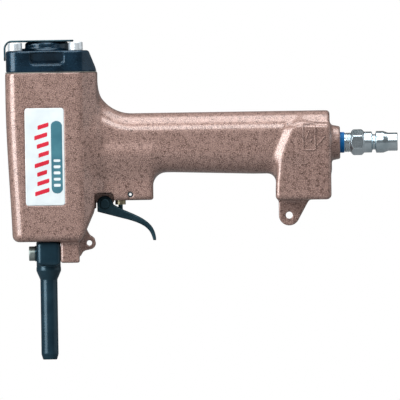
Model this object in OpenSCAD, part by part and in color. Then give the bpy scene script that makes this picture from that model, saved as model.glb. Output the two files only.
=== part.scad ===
// Pneumatic nail puller: compressed air throws a piston and its driver rod down
// a hollow nose, and the rod punches an old nail back out of the wood.
// The tool stands on its nose. Millimetres, z = 0 at the nose tip, +Z up the
// driver's axis, +X towards the handle and the air inlet.

/* [Nose] */
// Radius of the long nose tube
nose_tube_r = 5.15; // [5.05:0.05:5.3]
// Radius of the hole at the nose tip
nose_tip_bore_r = 3.3; // [3.2:0.05:3.4]
// Depth of the hole at the nose tip
nose_tip_bore_len = 30; // [26:1:34]
// Radius of the nose's upper collar
nose_collar_r = 7.25; // [7.1:0.05:7.3]
// Distance between the two screws that hold the nose
nose_screw_gap = 22; // [21.6:0.2:22.4]
// Height of the nose screws
nose_screw_z = 63.7; // [63.5:0.1:63.9]

/* [Body] */
// Width of the body
body_w = 46; // [45.8:0.1:46.6]
// Reach of the body in front of the driver's axis
body_front = 24.4; // [24.2:0.1:24.8]
// Reach of the body behind the driver's axis
body_back = 30.6; // [30.4:0.1:31]
// Height of the body's bottom face
body_bottom_z = 70.6; // [70.4:0.1:70.8]
// Height of the joint between body and cap
body_top_z = 172; // [171.5:0.1:172.2]
// Radius of the body's two front corners
front_corner_r = 7.5; // [6.5:0.5:7.5]
// Where the body's sides turn in towards the back, behind the driver's axis
side_end_x = 20.8; // [20.6:0.2:21.6]
// Width of the body's flat back face
back_face_w = 30; // [29:0.5:31]
// Radius of the chamber around the cylinder sleeve
chamber_r = 18.5; // [18.45:0.05:18.55]

/* [Handle] */
// Height of the handle's top
handle_top_z = 147; // [146.5:0.5:148]
// Width of the grip
handle_w = 31; // [29:0.5:33]
// Width of the tail, where the air line enters
tail_w = 36; // [34:0.5:37]
// Distance from the driver's axis to the tail's end face
tail_end_x = 170.4; // [169:0.2:171]
// Height of the tail's bottom face
tail_bottom_z = 93.5; // [93:0.5:94.5]
// Height of the air line's axis in the handle
air_line_z = 127.5; // [127:0.5:128]

/* [Cap] */
// Thickness of the cap's gasket
gasket_t = 0.5; // [0.4:0.1:0.6]
// Height of the cap's top face
cap_top_z = 185.3; // [185:0.1:185.6]
// Distance of the cap's bolts from the driver's axis, in X and in Y
cap_bolt_offset = 18.2; // [18:0.1:18.4]
// Radius of the exhaust neck on the cap
neck_r = 14; // [13.8:0.1:14.2]
// Width of the exhaust hood
hood_w = 27; // [26:0.5:27.5]

/* [Driver] */
// Bore radius of the cylinder sleeve
sleeve_bore_r = 13.5; // [13.48:0.01:13.52]
// Radius of the driver rod
driver_r = 2.75; // [2.72:0.01:2.76]
// Height of the driver rod's tip at rest
driver_tip_z = 38; // [36:1:44]

/* [Trigger] */
// Trigger pivot's distance behind the driver's axis
pivot_x = 34.3; // [34.2:0.1:34.4]
// Trigger pivot's height
pivot_z = 93; // [92.9:0.1:93.1]
// Width of the trigger lever
lever_w = 11; // [10.6:0.2:11.6]
// Trigger valve's distance behind the driver's axis
valve_x = 43.7; // [43.6:0.1:43.8]

/* [Air plug] */
// Hexagon across flats
plug_af = 13.4; // [13:0.2:14]
// Radius of the plug's tip
plug_tip_r = 5.45; // [5.3:0.05:5.5]
// Distance from the driver's axis to the plug's end
plug_end_x = 210.5; // [209:0.5:212]

/* [Hidden] */
$fn = 64;

paint = [0.62, 0.50, 0.46];
black = [0.13, 0.16, 0.19];
steel = [0.72, 0.75, 0.78];
brass = [0.72, 0.62, 0.38];
rubber = [0.08, 0.08, 0.09];

cut = 0.01;                          // how far a hole's cutter runs past a face
slide_gap = 0.05;                    // radial clearance of a running fit
handle_mid_z = 129;                  // middle of the grip's height
grip_bottom_z = 108;                 // lowest level of the grip's oval section
grip_corner_r = 14;
air_chamber_r = 11.5;
air_chamber_end_x = 158;
inlet_bore_r = 6.35;
boss_end_x = tail_end_x + 5.6;
block_front_x = 7.4;                 // the nose block's front face, behind the nose
block_back_x = 18.7;
block_bottom_z = 57.8;
flange_w = 33.8;                     // the nose's flange, square against that block
flange_bottom_z = 56.4;
valve_block_z = 94.8;                // bottom face of the trigger valve's block
valve_block_w = 25;
pocket_top_z = 99.3;
pocket_front_x = 28.1;
pocket_back_x = 39.7;
lug_w = 6;                           // the trigger's lug, between the lever's cheeks
plate_w = 5;                         // thickness of the two hanging lugs
front_eye = [24.7, 69.6];            // centres of the hanging lugs' holes, x and z
rear_eye = [144.8, 84.4];
front_eye_r = 1.6;
rear_eye_r = 2.1;
label_x = [-13.2, 10.6];
label_z = [92.3, 151];
label_t = 0.5;
sleeve_r = sleeve_bore_r + 1.7;
floor_z = 80;                        // top of the body's floor, under the sleeve
step_z = 86;                         // top of the ring that locates the sleeve
sleeve_top_z = 160.5;
piston_z = [148, 159.5];
head_valve_z = [161.6, 166];
cap_cavity_z = 181.5;
boss_z = 168;
boss_r = 7.05;
neck_top_z = 190.5;
neck_cavity_r = 9;
hood_t = 1.5;
hood_top_z = neck_top_z + hood_t;
hood_screw_y = 10.6;
hood_screw_r = 1.25;
hood_head_r = 2.3;
bolt_r = 2.5;
bolt_bottom_z = 150;
bolt_socket_r = 2.3;                 // across the corners of the socket, halved
valve_bore_r = 4.8;
pilot_at = [24.5, 14.5];             // x and y of the drilled pilot air passage
pilot_r = 1.2;
pilot_z = 104.5;
pin_at = [49.7, 98.3];               // x and z of the valve's retaining pin
pin_r = 1.5;
pivot_r = 2;
slot_w = 7.2;                        // gap between the lever's cheeks
stem_tip_z = 87.45;

// ---- helpers -------------------------------------------------------------

// Points of an arc about [cx, cy], from angle a0 to a1
function arc(cx, cy, r, a0, a1, n = 12) =
    [for (i = [0:n]) [cx + r * cos(a0 + (a1 - a0) * i / n), cy + r * sin(a0 + (a1 - a0) * i / n)]];

// Points of a cubic Bezier curve through four control points
function bezier(p, n = 14) =
    [for (i = [0:n]) let (t = i / n, u = 1 - t)
        u * u * u * p[0] + 3 * u * u * t * p[1] + 3 * u * t * t * p[2] + t * t * t * p[3]];

// A side outline (x, z) made w wide, centred on the middle plane
module side(w) rotate([90, 0, 0]) linear_extrude(w, center = true) children();

// A cross section (y, z) carried along X
module along_x(x0, x1) translate([x0, 0, 0]) rotate([90, 0, 90]) linear_extrude(x1 - x0) children();

module rod_x(r, x0, x1, y = 0, z = 0) translate([x0, y, z]) rotate([0, 90, 0]) cylinder(r = r, h = x1 - x0);

module rod_y(r, y0, y1, x = 0, z = 0) translate([x, y0, z]) rotate([-90, 0, 0]) cylinder(r = r, h = y1 - y0);

module rod_z(r, z0, z1, x = 0, y = 0) translate([x, y, z0]) cylinder(r = r, h = z1 - z0);

// A flat-ended ring about a vertical axis
module ring(r, hole_r, z0, z1) difference() {
    rod_z(r, z0, z1);
    rod_z(hole_r, z0 - cut, z1 + cut);
}

module o_ring(r, wire_r, z) translate([0, 0, z]) rotate_extrude() translate([r, 0]) circle(r = wire_r, $fn = 24);

// A rectangle with rounded corners, from a to b
module rounded(a, b, r) {
    translate([a[0] + r, a[1]]) square([b[0] - a[0] - 2 * r, b[1] - a[1]]);
    translate([a[0], a[1] + r]) square([b[0] - a[0], b[1] - a[1] - 2 * r]);
    for (x = [a[0] + r, b[0] - r], y = [a[1] + r, b[1] - r]) translate([x, y]) circle(r = r);
}

// A round-wire compression spring, swept along its helix, closed at both ends
module coil_spring(r, wire_r, z0, z1, turns) {
    sides = 8;
    per_turn = 16;
    steps = turns * per_turn;
    rise = z1 - z0 - 2 * wire_r;
    points = [for (i = [0:steps], k = [0:sides - 1])
        let (a = 360 * i / per_turn, b = 360 * k / sides, q = r + wire_r * cos(b))
        [q * cos(a), q * sin(a), z0 + wire_r + rise * i / steps + wire_r * sin(b)]];
    walls = [for (i = [0:steps - 1], k = [0:sides - 1])
        let (m = (k + 1) % sides)
        [i * sides + k, i * sides + m, (i + 1) * sides + m, (i + 1) * sides + k]];
    ends = [[for (k = [sides - 1:-1:0]) k], [for (k = [0:sides - 1]) steps * sides + k]];
    polyhedron(points, concat(walls, ends), convexity = 10);
}

module at_cap_bolts() for (x = [-1, 1], y = [-1, 1])
    translate([x * cap_bolt_offset, y * cap_bolt_offset, 0]) children();

// ---- casting --------------------------------------------------------------

// The body seen from above: round corners in front, flat slanting ones behind
module body_plan() {
    half = body_w / 2;
    rounded([-body_front, -half], [side_end_x, half], front_corner_r);
    polygon([[-body_front + front_corner_r, -half], [side_end_x, -half], [body_back, -back_face_w / 2],
             [body_back, back_face_w / 2], [side_end_x, half], [-body_front + front_corner_r, half]]);
}

// The body seen from the side: the front leans back towards the nose
module body_side() polygon(concat(
    [[-body_front, body_top_z], [-body_front, 154], [-21.2, 79]],
    arc(-17.2, body_bottom_z + 4, 4, 180, 270),
    [[20.8, body_bottom_z], [23.2, 76.5], [pocket_front_x, 89], [pocket_front_x, pocket_top_z],
     [body_back, pocket_top_z], [body_back, body_top_z]]));

// The web that blends the back of the body into the top of the handle
module handle_root_side() {
    r = 20.3;
    polygon(concat([[20, handle_mid_z], [20, body_top_z - 4], [body_back, body_top_z - 4]],
        arc(body_back + r, handle_top_z + r, r, 180, 270),
        [[body_back + r, handle_mid_z]]));
}

module grip_section() rounded([-handle_w / 2, grip_bottom_z], [handle_w / 2, handle_top_z], grip_corner_r);

// The grip's underside rises slightly towards the trigger and turns down at the tail
module grip_side() polygon(concat(
    [[10, handle_top_z], [tail_end_x - 6, handle_top_z], [tail_end_x - 6, 104], [136.9, 100.8]],
    arc(128.4, 100.8, 8.5, 0, 90),
    [[72.5, 111.2], [10, 111.2]]));

// The block that holds the trigger valve, below the front of the grip
module valve_block_side() polygon(concat(
    [[10, 124], [72.5, 124]], arc(72.5, 103.2, 8, 90, 180),
    [[63.5, 98], [63.5, valve_block_z], [pocket_back_x, valve_block_z],
     [pocket_back_x, pocket_top_z], [10, pocket_top_z]]));

module tail_section() rounded([-tail_w / 2, tail_bottom_z], [tail_w / 2, handle_top_z], 5);

// The rear lug: straight in front, and a line from the tail tangent to the eye's rim
module rear_lug_side() {
    r = 6.2;
    top = [157.5, tail_bottom_z + 1];
    d = norm(top - rear_eye);
    a = atan2(top[1] - rear_eye[1], top[0] - rear_eye[0]) - acos(r / d);
    polygon([[rear_eye[0] - r, top[1]], [rear_eye[0] - r, rear_eye[1]], rear_eye,
             rear_eye + r * [cos(a), sin(a)], top]);
    translate(rear_eye) circle(r = r);
}

module front_lug_side() {
    polygon([[15, 61.8], [19.4, 61.8], [20.7, 63.9], [23.2, 65.5], [26, 72], [23.2, 76.6], [15, 76.6]]);
    translate(front_eye) circle(r = 3.6);
}

module trigger_lug_side() {
    polygon([[pocket_front_x - 0.4, 90.3], [pocket_front_x + 1, 90.3], [pocket_front_x + 1, 94.2],
             [pivot_x - 3.8, 94.2], [pivot_x, pocket_top_z], [pivot_x, pocket_top_z + 1],
             [pocket_front_x - 0.4, pocket_top_z + 1]]);
    translate([pivot_x, pivot_z]) circle(r = 4.2);
    translate([pivot_x - 4.2, pivot_z]) square([pocket_back_x + 0.4 - pivot_x + 4.2, pocket_top_z + 1 - pivot_z]);
}

module casting_outside() {
    intersection() {
        side(body_w + 10) body_side();
        translate([0, 0, 60]) linear_extrude(120) body_plan();
    }
    side(22) handle_root_side();
    intersection() {
        side(handle_w + 10) grip_side();
        along_x(0, tail_end_x) grip_section();
    }
    side(valve_block_w) valve_block_side();
    along_x(136.9, tail_end_x) tail_section();
    side(plate_w) rear_lug_side();
    side(plate_w) front_lug_side();
    side(lug_w) trigger_lug_side();
    // inlet boss, flared where it meets the tail
    translate([tail_end_x - 1, 0, air_line_z]) rotate([0, 90, 0])
        cylinder(r1 = 11.6, r2 = 9.7, h = boss_end_x - tail_end_x + 1);
    // block behind the nose that takes its two screws
    translate([block_front_x, -16.5, block_bottom_z])
        cube([block_back_x - block_front_x, 33, body_bottom_z + 2 - block_bottom_z]);
}

module housing() color(paint) difference() {
    casting_outside();
    rod_z(chamber_r, step_z, body_top_z + cut);
    rod_z(sleeve_r + 0.05, floor_z, step_z + cut);
    rod_z(6, body_bottom_z - cut, floor_z + cut);
    at_cap_bolts() rod_z(bolt_r + 0.02, bolt_bottom_z - 2, body_top_z + cut);
    rod_x(air_chamber_r, 10, air_chamber_end_x, 0, handle_mid_z);
    rod_x(inlet_bore_r, air_chamber_end_x - 1, boss_end_x + cut, 0, air_line_z);
    // trigger valve: its bore, the way up into the handle's air, and its pin
    rod_z(valve_bore_r, valve_block_z - cut, 115.5, valve_x);
    rod_z(3, 115, handle_mid_z, valve_x);
    rod_y(pin_r + 0.02, -20, 20, pin_at[0], pin_at[1]);
    // pilot passage from the trigger valve to the space above the head valve
    rod_z(pilot_r, pilot_z, body_top_z + cut, pilot_at[0], pilot_at[1]);
    translate([pilot_at[0], pilot_at[1], pilot_z])
        rotate([0, 90, atan2(-pilot_at[1], valve_x - pilot_at[0])])
        cylinder(r = pilot_r, h = norm([valve_x - pilot_at[0], pilot_at[1]]) - 2);
    rod_y(pivot_r, -10, 10, pivot_x, pivot_z);
    rod_y(front_eye_r, -10, 10, front_eye[0], front_eye[1]);
    rod_y(rear_eye_r, -10, 10, rear_eye[0], rear_eye[1]);
    for (y = [-1, 1])
        rod_x(bolt_r + 0.02, block_front_x - cut, 17.2, y * nose_screw_gap / 2, nose_screw_z);
    // shallow seat for the name plate
    translate([0, -body_w / 2 + label_t, 0]) rotate([90, 0, 0]) linear_extrude(5)
        rounded([label_x[0], label_z[0]], [label_x[1], label_z[1]], 1.8);
}

module name_plate() color("white")
    translate([0, -body_w / 2 + label_t, 0]) rotate([90, 0, 0]) linear_extrude(label_t + 0.1)
        rounded([label_x[0] + 0.15, label_z[0] + 0.15], [label_x[1] - 0.15, label_z[1] - 0.15], 1.65);

// ---- cap ------------------------------------------------------------------

module cap_gasket() color("gray") translate([0, 0, body_top_z]) difference() {
    linear_extrude(gasket_t) body_plan();
    rod_z(chamber_r, -cut, gasket_t + cut);
    at_cap_bolts() rod_z(bolt_r + 0.1, -cut, gasket_t + cut);
    rod_z(pilot_r, -cut, gasket_t + cut, pilot_at[0], pilot_at[1]);
}

// The cap's back slopes down to the body
module cap_side() {
    z0 = body_top_z + gasket_t;
    polygon([[-23.8, z0], [-23.8, cap_top_z], [25.8, cap_top_z], [30.5, z0 + 1], [30.5, z0]]);
}

module cylinder_cap() color(black) difference() {
    z0 = body_top_z + gasket_t;
    union() {
        difference() {
            intersection() {
                side(body_w + 10) cap_side();
                translate([0, 0, 160]) linear_extrude(40) body_plan();
            }
            rod_z(chamber_r, z0 - cut, cap_cavity_z);
        }
        rod_z(boss_r, boss_z, cap_cavity_z + 1);
        rod_z(neck_r, cap_top_z - 1, neck_top_z);
        translate([0, 0, cap_top_z]) cylinder(r1 = neck_r + 1.5, r2 = neck_r, h = 1.5);
    }
    rod_z(5, boss_z - cut, neck_top_z);
    rod_z(neck_cavity_r, 186, neck_top_z + cut);
    ring(boss_r + 1, 6, 171, 172.4);
    // exhaust slot towards the front, under the hood
    translate([-neck_r - 3, -6.5, 186.8]) cube([8, 13, neck_top_z]);
    at_cap_bolts() rod_z(bolt_r + 0.1, z0 - cut, cap_top_z + cut);
    for (y = [-1, 1]) rod_z(hood_screw_r + 0.02, 186.2, neck_top_z + cut, 0, y * hood_screw_y);
    // the pilot passage's way in from the body
    rotate([0, 0, atan2(pilot_at[1], pilot_at[0])])
        translate([16, -pilot_r, z0 - cut]) cube([norm(pilot_at) - 14.8, 2 * pilot_r, 3]);
    // one shallow window in each side
    for (y = [-1, 1]) translate([0, y * body_w / 2, 0]) side(5)
        rounded([-9, 177.3], [10.6, 184], 1.8);
}

module cap_bolts() color(steel) at_cap_bolts() difference() {
    union() {
        rod_z(4.25, cap_top_z, cap_top_z + 5);
        rod_z(bolt_r, bolt_bottom_z, cap_top_z + 1);
    }
    translate([0, 0, cap_top_z + 2.4]) cylinder(r = bolt_socket_r, h = 3, $fn = 6);
}

// The hood: a flat strap over the neck with its front bent down as a lip
module hood_side() {
    r = 5;
    x0 = -25.2 + r;
    lip_z = 179.5;
    z0 = hood_top_z - r;
    polygon(concat([[17, neck_top_z], [17, hood_top_z]], arc(x0, z0, r, 90, 180),
        [[x0 - r, lip_z], [x0 - r + 1.2, lip_z]], arc(x0, z0, r - 1.2, 180, 90), [[x0, neck_top_z]]));
}

module exhaust_hood() color(black) difference() {
    side(hood_w) hood_side();
    for (y = [-1, 1]) translate([0, y * hood_screw_y, neck_top_z]) rotate_extrude()
        polygon([[0, -1], [hood_screw_r + 0.1, -1], [hood_screw_r + 0.1, 0.05],
            [hood_head_r + 0.1, hood_t - 0.05], [hood_head_r + 0.1, hood_t + 1], [0, hood_t + 1]]);
}

module hood_screws() color(black) for (y = [-1, 1]) translate([0, y * hood_screw_y, 0]) difference() {
    union() {
        translate([0, 0, neck_top_z]) cylinder(r1 = hood_screw_r, r2 = hood_head_r, h = hood_t);
        rod_z(hood_screw_r, 186.6, neck_top_z + 0.5);
    }
    translate([0, 0, hood_top_z - 0.9]) cylinder(r = 1, h = 2, $fn = 6);
}

module muffler() color("dimgray") ring(neck_cavity_r - 0.1, 5.2, 186, neck_top_z - 0.1);

// ---- nose -----------------------------------------------------------------

module nose_piece() color(black) difference() {
    union() {
        rotate_extrude() polygon([[0, 0], [4.2, 0], [nose_tube_r, 3.3], [nose_tube_r, 48],
            [nose_collar_r, 52.9], [nose_collar_r + 0.15, 53.1], [nose_collar_r + 0.15, 55.2],
            [nose_collar_r, 55.4], [nose_collar_r, body_bottom_z], [0, body_bottom_z]]);
        // the flange that the screws pass through
        along_x(-nose_collar_r, block_front_x)
            rounded([-flange_w / 2, flange_bottom_z], [flange_w / 2, body_bottom_z - 0.2], 1.5);
    }
    rod_z(nose_tip_bore_r, -cut, nose_tip_bore_len);
    rod_z(driver_r + slide_gap, -cut, body_bottom_z + cut);
    for (y = [-1, 1])
        rod_x(bolt_r + 0.1, -nose_collar_r - 1, block_front_x + 1, y * nose_screw_gap / 2, nose_screw_z);
}

module nose_screws() color(steel) for (y = [-1, 1])
    translate([0, y * nose_screw_gap / 2, nose_screw_z]) difference() {
        union() {
            rod_x(4.35, -11.7, -8.05);
            rod_x(bolt_r, -8.1, 17);
        }
        translate([-12, 0, 0]) rotate([0, 90, 0]) cylinder(r = bolt_socket_r, h = 2.6, $fn = 6);
    }

module nose_washers() color("gray") for (y = [-1, 1])
    translate([0, y * nose_screw_gap / 2, nose_screw_z]) difference() {
        rod_x(4.7, -8.05, -nose_collar_r);
        rod_x(bolt_r + 0.1, -9, -7);
    }

// ---- cylinder and driver ------------------------------------------------------

module cylinder_sleeve() color(steel) difference() {
    union() {
        rod_z(sleeve_r, floor_z, sleeve_top_z);
        rod_z(chamber_r - 0.1, 107, 112.5);
    }
    rod_z(sleeve_bore_r, floor_z - cut, sleeve_top_z + cut);
    ring(sleeve_r + 1, 14.3, 82, 83.2);
    ring(chamber_r + 1, 16.6, 108.8, 110.7);
    // return air leaves through the upper holes and comes back through the lower ones
    for (a = [0:45:315]) rotate([0, 0, a]) {
        rod_x(1, 10, 17, 0, 98);
        rod_x(1, 10, 17, 0, 116);
    }
}

module sleeve_o_rings() color(rubber) {
    o_ring(14.76, 0.44, 82.6);
    o_ring(17.5, 0.86, 109.75);
}

module check_ring() color(rubber) ring(16.3, sleeve_r + 0.05, 114.8, 117.2);

module bumper() color([0.2, 0.17, 0.12]) rotate_extrude() polygon([[4.5, 82.1], [13.2, 82.1],
    [13.2, 90], [12.2, 92], [12.2, 94.5], [11, 96], [7, 96], [4.5, 93.5]]);

module driver_bush() color(brass) difference() {
    union() {
        rod_z(5.98, body_bottom_z + 0.4, floor_z + 1);
        rod_z(8, floor_z, 82);
    }
    rod_z(driver_r + slide_gap, body_bottom_z, 83);
}

module piston() color("lightgray") difference() {
    rod_z(sleeve_bore_r - slide_gap - 0.03, piston_z[0], piston_z[1]);
    rod_z(driver_r + 0.02, piston_z[0] - cut, piston_z[1] + cut);
    ring(15, 11.6, 152.4, 155);
    rod_z(10, piston_z[0] - cut, 151);
    ring(12, 6, 157, piston_z[1] + cut);
}

module piston_ring() color(rubber) ring(sleeve_bore_r - slide_gap, 11.65, 152.5, 154.9);

module driver_rod() color(steel) {
    rod_z(driver_r, driver_tip_z + 1, 162);
    translate([0, 0, driver_tip_z]) cylinder(r1 = driver_r - 0.6, r2 = driver_r, h = 1);
    ring(5.5, driver_r - 0.5, 149, 151);
}

module driver_nut() color(steel) difference() {
    translate([0, 0, piston_z[1]]) cylinder(r = 5, h = 3, $fn = 6);
    rod_z(driver_r + 0.02, piston_z[1] - cut, piston_z[1] + 4);
}

// ---- head valve ---------------------------------------------------------------

module head_valve() color("gainsboro") difference() {
    union() {
        rod_z(chamber_r - 0.1, head_valve_z[0], head_valve_z[1]);
        rod_z(9, head_valve_z[0], 176);
    }
    rod_z(boss_r + 0.08, head_valve_z[0] - cut, 176 + cut);
    ring(chamber_r + 1, 16.4, 162.7, 164.9);
}

module head_valve_o_ring() color(rubber) o_ring(17.42, 1, 163.8);

module head_valve_seal() color(rubber) ring(15.6, 13.2, sleeve_top_z + 0.05, head_valve_z[0]);

module head_valve_spring() color(steel) coil_spring(13, 0.8, head_valve_z[1], cap_cavity_z, 5);

module boss_o_ring() color(rubber) o_ring(6.53, 0.5, 171.7);

// ---- trigger and its valve --------------------------------------------------------

// The lever seen from the side: a round hub and a blade that hooks downwards
module lever_side() {
    polygon(concat([[29.6, 93.5], [29.8, 88.2]],
        bezier([[44, 84.3], [60, 80.5], [61.5, 76.5], [63, 70.6]]),
        bezier([[64.8, 70.6], [64.6, 80.5], [58, 84], [46, 89]]),
        [[39.6, 92.4], [38.5, 95.6]]));
    translate([pivot_x, pivot_z]) circle(r = 4.7);
}

// The space between the cheeks: round the lug, then a sloping floor under the stem
module lever_slot_side() {
    translate([pivot_x, pivot_z]) circle(r = 4.9);
    polygon([[pivot_x, 88.1], [47.6, 87], [47.6, 92], [41, 101], [29, 101], [29, 93]]);
}

module trigger() color(black) difference() {
    side(lever_w) lever_side();
    side(slot_w) lever_slot_side();
    rod_y(pivot_r + slide_gap, -10, 10, pivot_x, pivot_z);
}

module trigger_pin() color(steel) difference() {
    union() {
        rod_y(pivot_r - 0.02, -lever_w / 2 - 0.5, lever_w / 2 + 2, pivot_x, pivot_z);
        rod_y(2.9, -lever_w / 2 - 1.5, -lever_w / 2 - 0.2, pivot_x, pivot_z);
    }
    difference() {
        rod_y(3, lever_w / 2 + 0.3, lever_w / 2 + 1.1, pivot_x, pivot_z);
        rod_y(1.4, lever_w / 2, lever_w / 2 + 2, pivot_x, pivot_z);
    }
}

module pin_clip() color(steel) difference() {
    rod_y(3.4, lever_w / 2 + 0.35, lever_w / 2 + 1.05, pivot_x, pivot_z);
    rod_y(1.45, 0, 20, pivot_x, pivot_z);
    translate([pivot_x - 1.4, 0, pivot_z - 5]) cube([2.8, 20, 5]);
}

module valve_body() color(brass) translate([valve_x, 0, 0]) rotate_extrude() polygon([
    [1.4, 92.3], [3.15, 92.3], [3.15, valve_block_z], [4.75, valve_block_z],
    [4.75, 96.5], [4.1, 96.5], [4.1, 100.1], [4.75, 100.1],
    [4.75, 101.6], [3.8, 101.6], [3.8, 103.2], [4.75, 103.2],
    [4.75, 110], [3.8, 110], [3.8, 111.6], [4.75, 111.6],
    [4.75, 115.5], [2.9, 115.5], [2.9, 102], [1.4, 102]]);

module valve_o_rings() color(rubber) translate([valve_x, 0, 0]) {
    o_ring(4.28, 0.46, 102.4);
    o_ring(4.28, 0.46, 110.8);
}

module valve_cap() color(brass) translate([valve_x, 0, 0]) ring(2.88, 1, 113, 115.4);

module valve_stem() color(steel) translate([valve_x, 0, 0]) {
    translate([0, 0, stem_tip_z + 1.35]) sphere(r = 1.35);
    rod_z(1.35, stem_tip_z + 1.35, 105);
    rod_z(2.6, 103.2, 105.6);
    rod_z(0.9, 105.6, 108.5);
}

module stem_seal() color(rubber) translate([valve_x, 0, 0]) ring(2.5, 1.36, 102.1, 103.2);

module valve_spring() color(steel) translate([valve_x, 0, 0]) coil_spring(2, 0.35, 105.65, 112.95, 5);

// Rolled from sheet, so it is a tube that can be looked through
module valve_retaining_pin() color(steel) difference() {
    rod_y(pin_r, -valve_block_w / 2 + 0.3, valve_block_w / 2 - 0.3, pin_at[0], pin_at[1]);
    rod_y(0.8, -20, 20, pin_at[0], pin_at[1]);
}

// ---- air inlet ------------------------------------------------------------------

// Turned profile of the plug, x along its axis and y its radius
module plug_profile() polygon([[163, 3.75], [163, 5.5], [178.6, 5.5], [178.6, 5.95], [182.8, 5.95],
    [182.8, 5], [190.1, 5], [190.1, 6.3], [194.9, 6.3], [195.4, 4.6], [197.1, 4.6], [197.6, 6.5],
    [201.8, 6.5], [204.8, plug_tip_r], [plug_end_x, plug_tip_r], [plug_end_x, 3.75]]);

module air_plug() color(steel) translate([0, 0, air_line_z]) {
    rotate([90, 0, 90]) rotate_extrude() rotate([0, 0, 90]) mirror([0, 1, 0]) plug_profile();
    difference() {
        translate([182.6, 0, 0]) rotate([0, 90, 0])
            cylinder(r = plug_af / 2 / cos(30), h = 7.7, $fn = 6);
        rod_x(4.5, 180, 195);
    }
}

module thread_seal() color([0.1, 0.3, 0.6]) translate([0, 0, air_line_z]) difference() {
    rod_x(6.3, 168, 178.6);
    rod_x(5.52, 167, 180);
}

module inlet_screen() color("gray") translate([0, 0, air_line_z]) difference() {
    rod_x(inlet_bore_r - 0.05, 160.5, 162);
    for (a = [0:60:300]) rotate([a, 0, 0]) rod_x(0.8, 160, 163, 0, 3.6);
    rod_x(0.8, 160, 163);
}

housing();
cylinder_cap();
cap_gasket();
cap_bolts();
exhaust_hood();
hood_screws();
muffler();
nose_piece();
nose_screws();
nose_washers();
name_plate();
cylinder_sleeve();
sleeve_o_rings();
check_ring();
bumper();
driver_bush();
piston();
piston_ring();
driver_rod();
driver_nut();
head_valve();
head_valve_o_ring();
head_valve_seal();
head_valve_spring();
boss_o_ring();
trigger();
trigger_pin();
pin_clip();
valve_body();
valve_o_rings();
valve_cap();
valve_spring();
valve_stem();
stem_seal();
valve_retaining_pin();
air_plug();
thread_seal();
inlet_screen();
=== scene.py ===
"""Looks of a pneumatic nail puller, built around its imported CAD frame.

Lengths are millimetres in the row frame, as on the tool's drawing; new_piece turns them to metres.
The tool stands on its nose: +Z up the driver's axis, +X towards the air plug, the name plate on -Y.
"""
import math

import bpy
import numpy as np
from mathutils import Matrix


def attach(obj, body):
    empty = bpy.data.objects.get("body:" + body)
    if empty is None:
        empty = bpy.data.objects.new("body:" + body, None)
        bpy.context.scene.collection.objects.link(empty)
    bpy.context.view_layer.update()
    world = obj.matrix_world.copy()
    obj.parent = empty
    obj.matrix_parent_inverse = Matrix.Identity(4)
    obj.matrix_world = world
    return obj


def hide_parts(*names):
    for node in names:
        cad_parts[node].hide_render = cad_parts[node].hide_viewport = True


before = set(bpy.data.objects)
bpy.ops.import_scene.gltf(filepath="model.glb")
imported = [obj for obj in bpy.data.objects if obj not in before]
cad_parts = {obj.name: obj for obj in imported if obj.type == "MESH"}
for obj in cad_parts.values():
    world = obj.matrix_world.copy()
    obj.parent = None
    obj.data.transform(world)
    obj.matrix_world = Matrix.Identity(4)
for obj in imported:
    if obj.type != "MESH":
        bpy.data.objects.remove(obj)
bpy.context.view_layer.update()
MM = 0.001


# ---- Camera -------------------------------------------------------------------------------
# A long lens, square to the side of the tool, so that it is as good as without perspective.
# The tool hangs a touch nose-heavy in the view, so the camera is rolled by that much.
view_centre = (91.4, 94.3)
view_width = 240
view_roll = math.radians(0.9)
camera = bpy.data.objects.new("camera", bpy.data.cameras.new("camera"))
bpy.context.scene.collection.objects.link(camera)
right = (math.cos(view_roll), 0, -math.sin(view_roll))
up = (math.sin(view_roll), 0, math.cos(view_roll))
turn = Matrix((right, up, (0, -1, 0))).transposed().to_4x4()
camera.matrix_world = Matrix.Translation((view_centre[0] * MM, -1.2, view_centre[1] * MM)) @ turn
camera.data.type = "ORTHO"
camera.data.ortho_scale = view_width * MM
bpy.context.scene.camera = camera


# ---- Studio -------------------------------------------------------------------------------
# A white room: soft white all round, and panels at the tool's left, above it, in front of it
# and, large and dim, at its right, that give its paint the long highlights.
def white_room(seen, given):
    """A world that looks as bright as seen to the camera and lights the tool with given."""
    world = bpy.data.worlds.new("white_room")
    world.use_nodes = True
    nodes, links = world.node_tree.nodes, world.node_tree.links
    background = nodes["Background"]
    backdrop = nodes.new("ShaderNodeBackground")
    rays = nodes.new("ShaderNodeLightPath")
    mix = nodes.new("ShaderNodeMixShader")
    background.inputs["Color"].default_value = (1, 1, 1, 1)
    background.inputs["Strength"].default_value = given
    backdrop.inputs["Strength"].default_value = seen
    backdrop.inputs["Color"].default_value = (1, 1, 1, 1)
    links.new(rays.outputs["Is Camera Ray"], mix.inputs[0])
    links.new(background.outputs[0], mix.inputs[1])
    links.new(backdrop.outputs[0], mix.inputs[2])
    links.new(mix.outputs[0], nodes["World Output"].inputs["Surface"])
    bpy.context.scene.world = world


def soft_panel(name, place, aim, width, height, watts):
    """A rectangular area light at place, turned to face aim."""
    light = bpy.data.lights.new(name, "AREA")
    light.shape = "RECTANGLE"
    light.size = width
    light.size_y = height
    light.energy = watts
    lamp = bpy.data.objects.new(name, light)
    bpy.context.scene.collection.objects.link(lamp)
    way = np.subtract(aim, place)
    lamp.location = place
    lamp.rotation_euler = (math.atan2(math.hypot(way[0], way[1]), -way[2]), 0,
                           math.atan2(way[1], way[0]) - math.pi / 2)


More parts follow.
